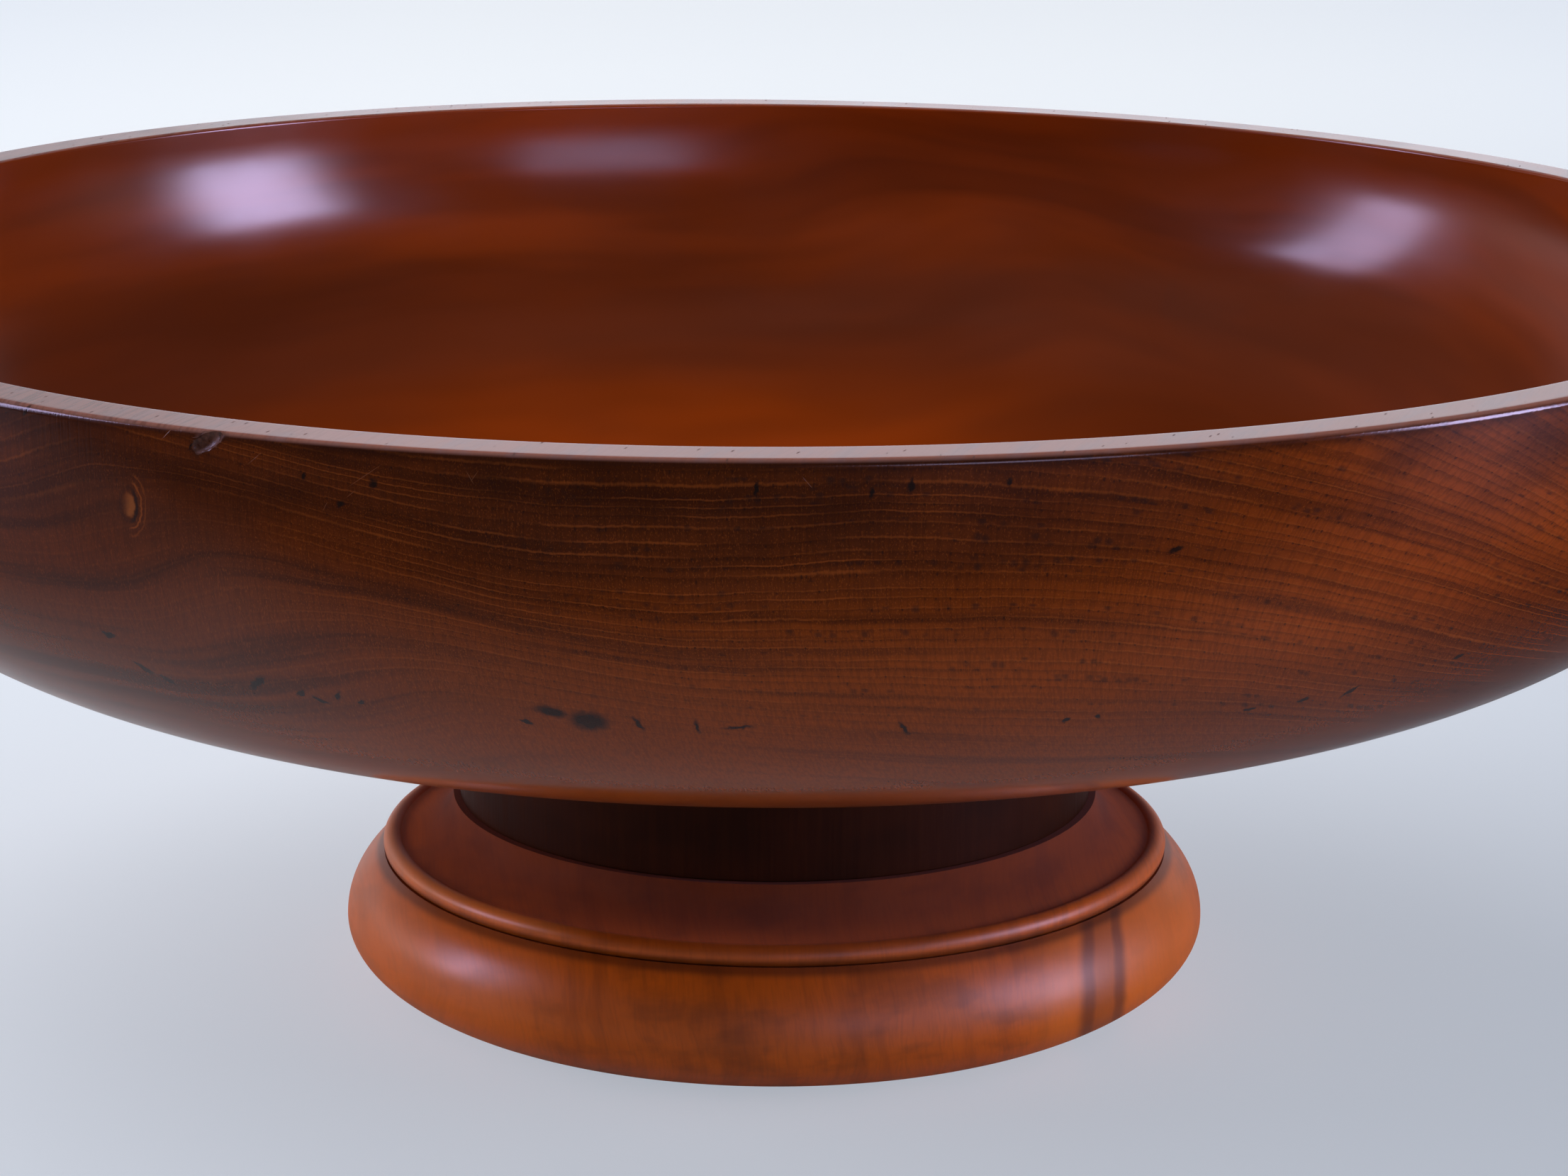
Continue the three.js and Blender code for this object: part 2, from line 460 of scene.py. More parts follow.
def mahogany_layers(add, grain):
    """The growth layers of the bowl's plank, as (ray place, layer height, place along the grain) in mm.

    The layers lie nearly level. They rise over a crest left of the middle, beside the pin knot, and fall
    away ever more steeply to the right. The rays stand square to them.
    """
    across, along, up = add("SeparateXYZ", grain, out=None)

    fall_start, fall_rate = 50.0, 5.5e-5
    past = add("Math", add("Math", across, fall_start, operation="SUBTRACT"), 0.0, operation="MAXIMUM")
    cubed = add("Math", past, 3.0, operation="POWER")
    squared = add("Math", past, 2.0, operation="POWER")

    crest_rise, crest_width, crest_shift, crest_start = 7.0, 27.0, 1.6, -142.0
    crest_place = add("Math", up, crest_shift, crest_start, operation="MULTIPLY_ADD")
    off_crest = add("Math", across, crest_place, operation="ADD")
    off_crest = add("Math", off_crest, crest_width, operation="DIVIDE")
    fall = add("Math", add("Math", off_crest, off_crest, operation="MULTIPLY"), -1.0, operation="MULTIPLY")
    bell = add("Math", fall, operation="EXPONENT")

    slow_wave, quick_wave = 4.5, 0.8
    slow = add("Math", clouds(add, grain, (38.0, 160.0, 30.0)), 0.5, operation="SUBTRACT")
    quick = add("Math", clouds(add, grain, (9.0, 60.0, 9.0), detail=2.0), 0.5, operation="SUBTRACT")
    layer = weighted(add, up, (cubed, fall_rate), (bell, -crest_rise), (slow, slow_wave), (quick, quick_wave))

    lean_from = 95.0
    lean = add("Math", squared, add("Math", up, lean_from, operation="SUBTRACT"), operation="MULTIPLY")
    ray = weighted(add, across, (lean, -3 * fall_rate))
    return add("CombineXYZ", ray, layer, along)


def growth_rings(add, layers, spacing, half_width):
    """Masks of the thin pale lines that close each season's growth, and of the dark late wood under each.

    There is about one every spacing mm. They are unevenly spaced and strong, and jagged where a ray crosses.
    """
    unevenness, jaggedness = 2.8, 0.36
    layer = add("SeparateXYZ", layers, out="Y")
    uneven = clouds(add, layers, (None, 4.3, None), drift=7.0)
    jagged = clouds(add, layers, (0.8, 1.2, 8.0), detail=2.0)
    layer = weighted(add, layer, (uneven, unevenness), (jagged, jaggedness))
    distance = add("Math", layer, spacing / 2, operation="PINGPONG")
    whole = clouds(add, layers, (16.0, 1.3, 60.0), detail=3.0)
    line = zone(add, (distance, half_width * 2.4, half_width * 0.1), (whole, 0.38, 0.64))
    age = add("Math", add("Math", layer, spacing, operation="DIVIDE"), operation="FRACT")
    late = add("Math", add("MapRange", age, 0.40, 0.97), 1.6, operation="POWER")
    return line, late


def bowl_marks(bowl):
    """Spots of old gum and ink on the belly, hair scratches and smudges below the rim, and the pin knot.

    Each is an azimuth in degrees, a height, a turn in the wall's plane, a half length and a half width in mm.
    """
    gum = [
        (-8.8, 79.5, -14, 2.3, 1.9), (-10.6, 80.6, -14, 1.9, 0.7), (-6.4, 79.3, -62, 1.3, 0.35),
        (-3.6, 79.1, -80, 1.0, 0.32), (-1.6, 79.0, 5, 1.8, 0.26), (-25.8, 80.7, 40, 2.0, 0.45),
        (-34.1, 84.3, -5, 1.0, 0.45), (-32.9, 80.0, -30, 1.4, 0.36), (-31.7, 78.7, -35, 1.2, 0.32),
        (-23.5, 79.9, 30, 0.9, 0.32), (-22.6, 79.2, -25, 1.0, 0.30), (-21.4, 80.2, 60, 0.8, 0.28),
        (-20.3, 79.5, 20, 0.6, 0.26), (-11.9, 78.7, -20, 0.8, 0.26), (6.3, 78.7, -55, 1.4, 0.30),
        (14.3, 78.8, 30, 0.6, 0.30), (15.9, 78.9, -30, 0.5, 0.26), (24.3, 77.7, 4, 0.9, 0.26),
        (27.3, 78.0, 14, 0.8, 0.28), (30.1, 78.2, 32, 1.2, 0.32), (36.5, 80.6, 15, 0.9, 0.26),
        (6.0, 110.1, 84, 0.8, 0.34), (4.3, 109.4, 88, 0.6, 0.28), (-0.7, 109.9, 86, 0.9, 0.22),
        (10.3, 110.2, 80, 0.5, 0.22), (18.2, 101.0, 20, 0.9, 0.34), (-17.8, 108.6, 60, 0.6, 0.5),
        (-19.4, 105.9, 10, 0.6, 0.45), (-21.2, 108.8, 75, 0.5, 0.3), (-26.8, 111.3, 44, 1.2, 0.14),
    ]
    scratches = [
        (-28.2, 112.2, 45, 1.1, 0.05), (-23.6, 110.4, 40, 1.2, 0.05), (-18.2, 109.5, 35, 2.4, 0.045),
        (-13.3, 110.1, -60, 0.8, 0.05), (-13.1, 110.3, 55, 0.7, 0.04), (-18.9, 107.2, 40, 0.7, 0.045),
        (-20.2, 105.4, 60, 0.6, 0.045), (1.5, 110.6, -50, 0.8, 0.045),
    ]
    smudges = [(-50.6, 107.5, 84, 6.5, 3.2), (-53.5, 104.5, 78, 4.5, 2.0)]
    knot = (-30.7, 102.7, -10, 1.05, 1.65)
    depth = 1.5

    def shape(azimuth, height, lean, length, width):
        return placed(bowl, azimuth, height, lean, (length, depth, width))

    return *([shape(*row) for row in rows] for rows in (gum, scratches, smudges)), shape(*knot)


def from_shape(add, place, shape):
    """The place as the ellipsoid sees it, and its distance, which is 1 on the ellipsoid's skin."""
    centre, turned, sizes = shape.decompose()
    local = add("Mapping", place, centre, turned.to_euler(), sizes, vector_type="TEXTURE")
    return local, add("VectorMath", local, out="Value", operation="LENGTH")


def inside_shapes(add, place, shapes, soft):
    """A mask that is 1 inside any of the ellipsoids and falls to 0 a little outside them."""
    total = 0.0
    for shape in shapes:
        distance = from_shape(add, place, shape)[1]
        total = add("Math", total, zone(add, (distance, 1.0 + soft, 1.0 - soft)), operation="MAXIMUM")
    return total


def pin_knot(add, place, shape):
    """Masks of a pin knot: its heart, the dark bark round it and the pale arcs of the rings pushed aside."""
    bark_at, ring_spacing = 1.25, 0.31  # where 1 is the edge of the heart
    local, distance = from_shape(add, place, shape)
    right = add("SeparateXYZ", local, out="X")
    beside = zone(add, (right, 0.1, 0.8))
    shaded = add("MapRange", right, -0.7, 0.4, 0.12, 1.0, **SOFT)
    heart = zone(add, (distance, 1.05, 0.75), within=shaded)
    off_bark = gap(add, distance, bark_at)
    bark = zone(add, (off_bark, 0.30, 0.08), within=add("MapRange", beside, 0.0, 1.0, 0.35, 1.0))
    ripple = add("Math", distance, ring_spacing, operation="PINGPONG")
    rings = zone(add, (ripple, 0.14, 0.03), (distance, 3.0, 1.9), (distance, 1.35, 1.5), within=beside)
    return heart, bark, rings


def old_marks(add, place, bowl, chip, nick):
    """Masks of the bowl's marks. Most have ragged edges, because their places are shoved about a little."""
    raggedness, at_knot = 0.9, 0.7  # in mm, and the share of it that the pin knot takes
    finer = add("Mapping", place, None, None, (1.1, 1.1, 1.1))
    ragged = add("TexNoise", at={"Vector": finer, "Scale": 1.0, "Detail": 2.0}, out="Color")
    centred = add("VectorMath", ragged, (0.5, 0.5, 0.5), operation="SUBTRACT")
    shove = add("VectorMath", centred, at={"Scale": raggedness}, operation="SCALE")
    ragged_place = add("VectorMath", place, shove, operation="ADD")
    slight = add("VectorMath", shove, at={"Scale": at_knot}, operation="SCALE")
    knot_place = add("VectorMath", place, slight, operation="ADD")

    gum, scratches, smudges, knot = bowl_marks(bowl)
    heart, bark, pushed_rings = pin_knot(add, knot_place, knot)
    splinters = clouds(add, place, (0.5, 0.5, 0.9), detail=3.0)
    splinters = add("MapRange", splinters, 0.35, 0.60, 0.45, 1.0, **SOFT)
    bare = inside_shapes(add, ragged_place, [chip @ Matrix.Scale(1.03, 4)], 0.15)
    return {
        "gum": inside_shapes(add, ragged_place, gum, 0.45),
        "scratches": inside_shapes(add, place, scratches, 0.3),
        "smudges": inside_shapes(add, ragged_place, smudges, 0.9),
        "heart": heart,
        "bark": bark,
        "pushed_rings": pushed_rings,
        "lip": inside_shapes(add, ragged_place, [chip @ Matrix.Scale(1.2, 4)], 0.2),
        "bare": add("Math", bare, splinters, operation="MULTIPLY"),
        "cut": inside_shapes(add, place, [nick], 0.2),
    }


def bowl_sides(add, bowl, place, off_view):
    """Masks of end grain, of the inside and the outside, and of the rim's flat top."""
    across, along, up = add("SeparateXYZ", place, out=None)
    normal = add("TexCoord", out="Normal")
    facing = add("SeparateXYZ", add("Mapping", normal, None, off_view), out="Y")
    end_grain = zone(add, (add("Math", facing, operation="ABSOLUTE"), 0.25, 0.95))
    upward = add("SeparateXYZ", normal, out="Z")
    level_place = add("CombineXYZ", across, along)
    outward = add("VectorMath", normal, level_place, out="Value", operation="DOT_PRODUCT")
    hollow_side = weighted(add, upward, (outward, -2 / bowl.rim_radius))
    inside = zone(add, (hollow_side, -0.4, 0.4))
    outside = add("Math", 1.0, inside, operation="SUBTRACT")
    rim_low, rim_full = bowl.rim_height - 3.6, bowl.rim_height - 3.0  # below all of the warped rim's top
    rim = zone(add, (up, rim_low, rim_full), (upward, 0.45, 0.9))
    return end_grain, inside, outside, rim


def bowl_places(add, place, layers, inside, outside):
    """Masks of places on the bowl, outside then inside: where side grain shows, and where shade and light are
    painted.
    """
    across, _, up = add("SeparateXYZ", place, out=None)
    ray_place, layer = add("SeparateXYZ", layers, out=None)[:2]
    off_axis = add("Math", across, operation="ABSOLUTE")
    off_middle = gap(add, across, -15.0)
    to_right = zone(add, (ray_place, -10.0, 60.0))
    below_rim_inside = add("MapRange", up, 111.0, 98.0, 0.55, 1.0, **SOFT)
    less_at_right = add("MapRange", across, 20.0, 60.0, 1.0, 0.45, **SOFT)
    painted_light_side = add("Math", inside, below_rim_inside, operation="MULTIPLY")
    bend_side = add("Math", inside, less_at_right, operation="MULTIPLY")
    return {
        "to_right": to_right,
        "lower_left": zone(add, (across, -25.0, -70.0), (layer, 104.0, 95.0)),
        "right_side": add("Math", to_right, outside, operation="MULTIPLY"),
        # painted shade on the outer wall at the left
        "to_left": zone(add, (across, -45.0, -85.0), within=outside),
        "far_right": zone(add, (across, 5.0, 75.0), (up, 76.0, 92.0), within=outside),
        # painted shade: the outer wall's underside at the far right made darker
        "under_right": zone(add, (across, 60.0, 96.0), (up, 100.0, 86.0), within=outside),
        # painted shade: the lower belly at the right made darker
        "belly_right": zone(add, (across, 28.0, 62.0), (up, 91.0, 80.0), within=outside),
        # painted shade: the outer wall's upper middle, which faces away from the side lamps, made darker
        "high_middle": zone(add, (off_axis, 90.0, 20.0), (up, 86.0, 104.0), within=outside),
        # painted shade inside, at both sides
        "side_shade": zone(add, (off_middle, 20.0, 95.0), within=inside),
        # painted light: the inner wall below the rim made brighter orange
        "painted_light_on_wall": zone(add, (up, 80.0, 96.0), within=painted_light_side),
        # painted shade inside: at the bend of wall and floor, and on the floor at the right
        "bend": zone(add, (up, 66.0, 76.0), (up, 91.0, 80.0), within=bend_side),
        "low_right": zone(add, (across, 20.0, 70.0), (up, 77.0, 68.0), within=inside),
    }


def bowl_figure(add, layers, at, inside, outside):
    """Masks of broad clouds, growth rings that are finest and clearest near the rim, rays and pores.

    Inside, wax and wear have closed the fine ones.
    """
    layer = add("SeparateXYZ", layers, out="Y")
    bands = zone(add, (clouds(add, layers, (70.0, 2.2, 120.0), detail=2.0), 0.48, 0.70), within=outside)
    # cloudy patches of painted shade on the inside
    cloudy_shade = clouds(add, layers, (95.0, 9.0, 80.0), detail=2.0, drift=5.0)
    lines, late = growth_rings(add, layers, spacing=1.4, half_width=0.095)
    clear = zone(add, (layer, 60.0, 94.0), within=outside)
    less_below = add("MapRange", at["lower_left"], 0.0, 1.0, 1.0, 0.25)
    clear = add("Math", clear, less_below, operation="MULTIPLY")
    late = add("Math", late, clear, operation="MULTIPLY")
    rays = clouds(add, layers, (0.26, 9.0, 0.9))
    ticks = specks(add, layers, (0.55, 1.4, 9.0), 0.32, 0.10)
    dashes = specks(add, layers, (1.3, 1.5, 16.0), 0.50, 0.12)
    dashes = zone(add, (clouds(add, layers, (30.0, 1.2, 60.0), drift=3.0), 0.54, 0.62), within=dashes)
    for share in (
        add("MapRange", at["to_right"], 0.0, 1.0, 0.2, 1.0), outside,
        add("MapRange", layer, 72.0, 82.0, 0.15, 1.0, **SOFT),
    ):
        dashes = add("Math", dashes, share, operation="MULTIPLY")
    return {
        "broad": zone(add, (clouds(add, layers, (34.0, 9.0, 90.0), detail=2.0), 0.34, 0.74)),
        "bands": bands,
        "lower_bands": add("Math", bands, at["lower_left"], operation="MULTIPLY"),
        # painted shade in cloudy patches inside
        "cloudy_shade": zone(add, (cloudy_shade, 0.42, 0.66), within=inside),
        "clear": clear,
        "lines": add("Math", lines, clear, operation="MULTIPLY"),
        "late": late,
        "rays": rays,
        "dark_rays": zone(add, (rays, 0.42, 0.62), within=outside),
        "flecks": zone(add, (clouds(add, layers, (0.15, 0.34, 2.5)), 0.56, 0.72), within=outside),
        "tick_rows": add("Math", ticks, add("MapRange", late, 0.1, 0.6), operation="MULTIPLY"),
        "dashes": dashes,
    }


def rim_wear(add, grain, across, rim):
    """Masks of the rim's worn top: short dark pores, soft streaks, and its left with threads of colour."""
    pores = add("Math", specks(add, grain, (1.3, 5.5, 6.0), 0.15, 0.04), rim, operation="MULTIPLY")
    streaks = zone(add, (clouds(add, grain, (3.0, 11.0, 20.0), detail=3.0), 0.45, 0.70), within=rim)
    more_at_left = add("MapRange", across, -40.0, -85.0, 0.12, 0.75, **SOFT)
    left = add("Math", rim, more_at_left, operation="MULTIPLY")
    threads = zone(add, (clouds(add, grain, (0.5, 6.0, 20.0), detail=2.0), 0.42, 0.68), within=left)
    return pores, streaks, left, threads


def waxed_mahogany(bowl, wood, chip, nick):
    """Mahogany turned across a plank, oiled and waxed by hand over many years.

    End grain faces the front: level growth lines, fine rays square to them, and rows of gum-filled pores.
    Side grain shows on the floor, on the rim and to the right, where it is redder and brighter. The wax
    gives it a clear soft shine, in which windows show as hazy patches.
    """
    material, add = new_material("mahogany_turned_waxed")
    place = in_millimetres(add)
    across, _, up = add("SeparateXYZ", place, out=None)
    off_view = (0, 0, math.radians(18))  # the grain runs this far off the view
    grain = add("Mapping", place, None, off_view)
    layers = mahogany_layers(add, grain)
    end_grain, inside, outside, rim = bowl_sides(add, bowl, place, off_view)
    at = bowl_places(add, place, layers, inside, outside)
    figure = bowl_figure(add, layers, at, inside, outside)
    rim_pores, streaks, rim_left, threads = rim_wear(add, grain, across, rim)
    marks = old_marks(add, place, bowl, chip, nick)

    # Old hand wear and grime outside, below the rim
    grime = add("MapRange", clouds(add, place, (16.0, 30.0, 7.0), detail=3.0), 0.35, 0.68, 0.25, 1.0, **SOFT)
    wear = zone(add, (up, 92.0, 111.0), within=add("Math", grime, outside, operation="MULTIPLY"))
    edge = zone(add, (up, 111.4, 112.6), within=outside)

    # The floor and wall inside show the warmer colour that lies along the grain
    across_grain = add("Math", end_grain, add("MapRange", inside, 0.0, 1.0, 1.0, 0.25), operation="MULTIPLY")
    ground = add(
        "Mix", at={FACTOR: across_grain, COLOUR_A: (*wood.side, 1), COLOUR_B: (*wood.end, 1)},
        out=MIXED, data_type="RGBA",
    )
    # The first brown is painted shade; the second is grime below the rim and painted shade at the front
    # middle
    shade, grime_and_shade_brown, pore_brown = linear(0x541F08), linear(0x2A0F06), linear(0x4A2418)
    base = tinted(
        add, ground,
        (at["right_side"], 0.62, wood.side),
        (at["far_right"], 0.50, linear(0xB04A10)),
        # painted shade low on the outer wall at the right, in this coat and the next
        (at["under_right"], 0.58, linear(0x501C08)),
        (at["belly_right"], 0.34, linear(0x481808)),
        (inside, 0.45, linear(0x9A3004)),
        # painted light: brighter orange on the inner wall below the rim
        (at["painted_light_on_wall"], 0.75, linear(0xC24C06)),
        # painted shade inside: at the sides, in cloudy patches, at the bend of wall and floor, and low at the
        # right
        (at["side_shade"], 0.50, shade),
        (figure["cloudy_shade"], 0.38, shade),
        (at["bend"], 0.42, shade),
        (at["low_right"], 0.45, shade),
        (figure["broad"], 0.26, linear(0x552208)),
        (figure["bands"], 0.46, linear(0x401807)),
        (figure["lower_bands"], 0.30, linear(0x1E1008)),
        (figure["late"], 0.42, linear(0x3A1608)),
        # painted shade: the upper middle of the outer wall darker
        (at["high_middle"], 0.52, grime_and_shade_brown),
        (figure["lines"], 0.58, wood.line),
        (figure["dark_rays"], 0.22, linear(0x341408)),
        (figure["flecks"], 0.32, wood.line),
        # painted shade: the outer wall darker at the left
        (at["to_left"], 0.33, linear(0x2A0F08)),
        (figure["tick_rows"], 0.55, wood.gum),
        (figure["dashes"], 0.50, wood.gum),
        (wear, 0.60, grime_and_shade_brown),
        (edge, 0.55, grime_and_shade_brown),
        # partly wear, partly painted reflection: the rim's flat top made pale pink
        (rim, 0.78, wood.rim),
        (streaks, 0.28, linear(0x766E7C)),
        (rim_left, 0.35, linear(0x7A5450)),
        (threads, 0.55, pore_brown),
        (rim_pores, 0.65, pore_brown),
        (marks["smudges"], 0.45, wood.gum),
        (marks["gum"], 0.90, wood.gum),
        (marks["scratches"], 0.45, wood.raw),
        (marks["pushed_rings"], 0.50, wood.line),
        (marks["bark"], 0.75, wood.gum),
        (marks["heart"], 0.62, linear(0xA85A26)),
        (marks["lip"], 0.55, wood.gum),
        (marks["bare"], 0.70, linear(0x7E4632)),
        (marks["cut"], 0.70, wood.gum),
    )

    # Sheen: waxed, a little duller in the pores, and dull on the rim's pores and where the wood is bare
    polish = clouds(add, place, (22.0, 22.0, 9.0), detail=3.0)
    roughness = add("MapRange", polish, 0.25, 0.75, 0.15, 0.21, **SOFT)
    roughness = weighted(
        add, roughness, (figure["dashes"], 0.05), (marks["bare"], 0.5), (rim_pores, 0.3), (inside, 0.01),
    )

    # Relief: the dark rays, the pores and the scratches are sunk, and the pale lines stand up a little
    relief = 0.016 * MM
    height = add("MapRange", figure["rays"], 0.40, 0.65, 0.25, 0.0, **SOFT)
    height = add("Math", height, figure["clear"], operation="MULTIPLY")
    height = weighted(
        add, height, (figure["dashes"], -0.1), (figure["lines"], 0.12), (marks["scratches"], -0.6),
    )
    finish_material(add, base, roughness, height, relief, **WAX)
    return material


def stained_neck(wood):
    """Straight-grained wood stained near-black and left dull, so the grain shows only faintly."""
    material, add = new_material("neck_wood_stained_black")
    place = in_millimetres(add)
    grain = clouds(add, place, (0.7, 0.7, 14.0), detail=2.0)
    cloud = clouds(add, place, (16.0, 16.0, 9.0), detail=2.0)
    base = tinted(
        add, (*wood.neck, 1),
        (add("MapRange", grain, 0.35, 0.75, **SOFT), 0.5, linear(0x451D08)),
        (add("MapRange", cloud, 0.35, 0.70, **SOFT), 0.4, linear(0x1E0C04)),
    )
    roughness = add("MapRange", grain, 0.3, 0.7, 0.46, 0.56, **SOFT)
    finish_material(add, base, roughness, grain, 0.03 * MM, **DRY_STAIN)
    return material


def moulded_foot_wood(foot, wood):
    """A second piece of mahogany, lighter and redder, turned and waxed, with a broader shine than the bowl.

    Its layers stand upright: soft streaks, smudges, and two dark bands close together at the front right.
    The groove is darker, and painted shade darkens the cove towards the neck and the bead at the front.
    """
    material, add = new_material("mahogany_foot_turned_waxed")
    place = in_millimetres(add)
    grain = add("Mapping", place, None, (0, math.radians(4), math.radians(-8)))
    bend = add("Math", clouds(add, grain, (26.0, 60.0, 22.0), detail=2.0), 0.5, operation="SUBTRACT")
    shift = add("CombineXYZ", add("Math", bend, 6.0, operation="MULTIPLY"), 0.0, 0.0)
    bent = add("VectorMath", grain, shift, operation="ADD")
    streaks = clouds(add, bent, (3.0, 70.0, 24.0), detail=3.0)
    mottle = clouds(add, bent, (9.0, 14.0, 4.0), detail=4.0)
    fine = clouds(add, bent, (0.45, 12.0, 3.0), detail=2.0)

    across, along, up = add("SeparateXYZ", place, out=None)
    radius = add("VectorMath", add("CombineXYZ", across, along), out="Value", operation="LENGTH")
    quirk_radius = foot.radius - foot.quirk_inset
    quirk_lift = math.sin(math.acos(1 - foot.quirk_inset / foot.top_reach))
    quirk_height = foot.torus_height + foot.top_rise * quirk_lift
    on_torus = zone(add, (up, quirk_height + 0.6, quirk_height - 0.4))

    # Two dark bands at the front right of the torus, and brighter wood beyond them
    front = zone(add, (along, 0.0, -20.0), within=on_torus)
    wander = clouds(add, place, (9.0, 40.0, 7.0), detail=2.0)
    wander = weighted(add, across, (wander, 1.6))
    first, second = 45.8, 50.2
    pair = 0.0
    for centre, half_width in ((first, 0.9), (second, 0.8)):
        band = zone(add, (gap(add, wander, centre), half_width * 2.2, half_width * 0.3))
        pair = add("Math", pair, band, operation="MAXIMUM")
    from_middle = gap(add, wander, (first + second) / 2)
    between = add("MapRange", from_middle, 2.8, 1.2, 0.0, 0.55, **SOFT)
    bands = add("Math", add("Math", pair, between, operation="MAXIMUM"), front, operation="MULTIPLY")
    beyond = zone(add, (wander, 34.0, 43.0), within=front)
    # painted light on the left of the torus
    to_left = zone(add, (across, -25.0, -42.0), within=on_torus)

    # The groove is darker. The cove is duller, where no cloth reaches, and painted shade darkens it towards
    # the neck. The bead has a painted highlight at the left and painted shade at the front.
    groove_in = 0.4  # the groove's middle lies this far inside the torus's edge
    off_groove = gap(add, radius, quirk_radius - groove_in)
    groove = zone(add, (off_groove, 2.8, 0.9), (gap(add, up, quirk_height), 1.5, 0.5))
    cove = zone(add, (radius, 59.5, 55.5), (up, 21.0, 22.5))
    # painted shade in the cove, deepening towards the neck
    to_neck = add("MapRange", radius, 59.0, 50.5, 0.2, 1.0, **SOFT)
    cove_shade = add("Math", cove, to_neck, operation="MULTIPLY")
    shade_by_neck = zone(add, (radius, 55.0, 48.7), within=cove)
    on_bead = zone(add, (radius, 55.8, 57.3), (up, 21.6, 22.8))
    # painted shade on the bead at the front, and a painted highlight on it at the left
    painted_shade_bead_front = zone(add, (along, -44.0, -56.0), within=on_bead)
    painted_highlight_bead_left = zone(add, (across, -22.0, -38.0), within=on_bead)

    base = tinted(
        add, (*wood.foot, 1),
        (zone(add, (streaks, 0.46, 0.75)), 0.30, wood.foot_dark),
        (zone(add, (mottle, 0.46, 0.70)), 0.38, linear(0x7A3A14)),
        (zone(add, (fine, 0.42, 0.70)), 0.14, linear(0x6A3012)),
        (beyond, 0.60, linear(0xF07A1C)),
        # painted light: the torus brighter at the left
        (to_left, 0.40, linear(0xF07A2C)),
        (bands, 0.72, wood.foot_dark),
        # painted shade in the cove, darkest by the neck
        (cove_shade, 0.60, linear(0x742000)),
        (groove, 0.62, linear(0x3A170A)),
        # painted shade where the cove meets the neck
        (shade_by_neck, 0.55, linear(0x3A1204)),
        # painted shade on the bead at the front, then a painted highlight at its left
        (painted_shade_bead_front, 0.35, linear(0x5A2208)),
        (painted_highlight_bead_left, 0.50, linear(0xF08A4C)),
    )
    polish = clouds(add, place, (14.0, 14.0, 6.0), detail=3.0)
    roughness = add("MapRange", polish, 0.25, 0.75, 0.42, 0.50, **SOFT)
    smoother_left = add("MapRange", across, -25.0, 15.0, 0.11, 0.0, **SOFT)
    roughness = add("Math", roughness, smoother_left, operation="SUBTRACT")
    roughness = weighted(add, roughness, (cove, 0.55))
    finish_material(add, base, roughness, fine, 0.008 * MM, **WAX)
    return material


# The stage

def pale_floor(stage):
    """A matt painted board, paler far behind the platter and with painted shade at the front right.

    The camera sees half of its own pale colour and half of the light and shadow on it. In front of the
    platter and at its sides the gloss of the wood shows a dim room instead of the board.
    """
    material, add = new_material("floor_matt_paint")
    across, depth = add("SeparateXYZ", in_millimetres(add), out=None)[:2]
    rays = {socket.name: socket for socket in add("LightPath", out=None)}
    behind = zone(add, (depth, -150.0, 1100.0))
    before = add("Math", 1.0, behind, operation="SUBTRACT")
    # painted shade: darker towards the right in front of the platter
    to_right = zone(add, (across, -60.0, 330.0), within=before)
    to_side = zone(add, (add("Math", across, operation="ABSOLUTE"), 120.0, 420.0), within=behind)
    pale = tinted(
        add, (*stage.floor_near, 1),
        (behind, 1.0, stage.floor_far),
        (to_side, 0.6, stage.floor_near),
        (to_right, 0.85, stage.shaded_floor_right),
    )
    in_room = zone(add, (depth, -95.0, -260.0))
    for start, end, dimness in ((70.0, 215.0, 0.95), (-80.0, -250.0, 0.78)):
        dim = add("MapRange", across, start, end, 0.0, dimness, **SOFT)
        in_room = add("Math", in_room, dim, operation="MAXIMUM")
    in_room = add("Math", in_room, rays["Is Glossy Ray"], operation="MULTIPLY")
    paint = add("BsdfPrincipled", at={
        "Base Color": tinted(add, pale, (in_room, 1.0, linear(0x1C1C20))),
        "Roughness": 0.6, "Specular IOR Level": 0.1,
    })
    plain = add("Emission", pale, add("MapRange", behind, 0.0, 1.0, stage.plain_near, stage.plain_far))
    half = add("Math", rays["Is Camera Ray"], 0.5, operation="MULTIPLY")
    add("OutputMaterial", add("MixShader", half, paint, plain))
    return material


def make_floor(stage):
    bm = bmesh.new()
    bmesh.ops.create_grid(bm, x_segments=8, y_segments=8, size=5.0)
    mesh = bpy.data.meshes.new("floor")
    bm.to_mesh(mesh)
    bm.free()
    mesh.materials.append(pale_floor(stage))
    floor = bpy.data.objects.new("floor", mesh)
    bpy.context.collection.objects.link(floor)


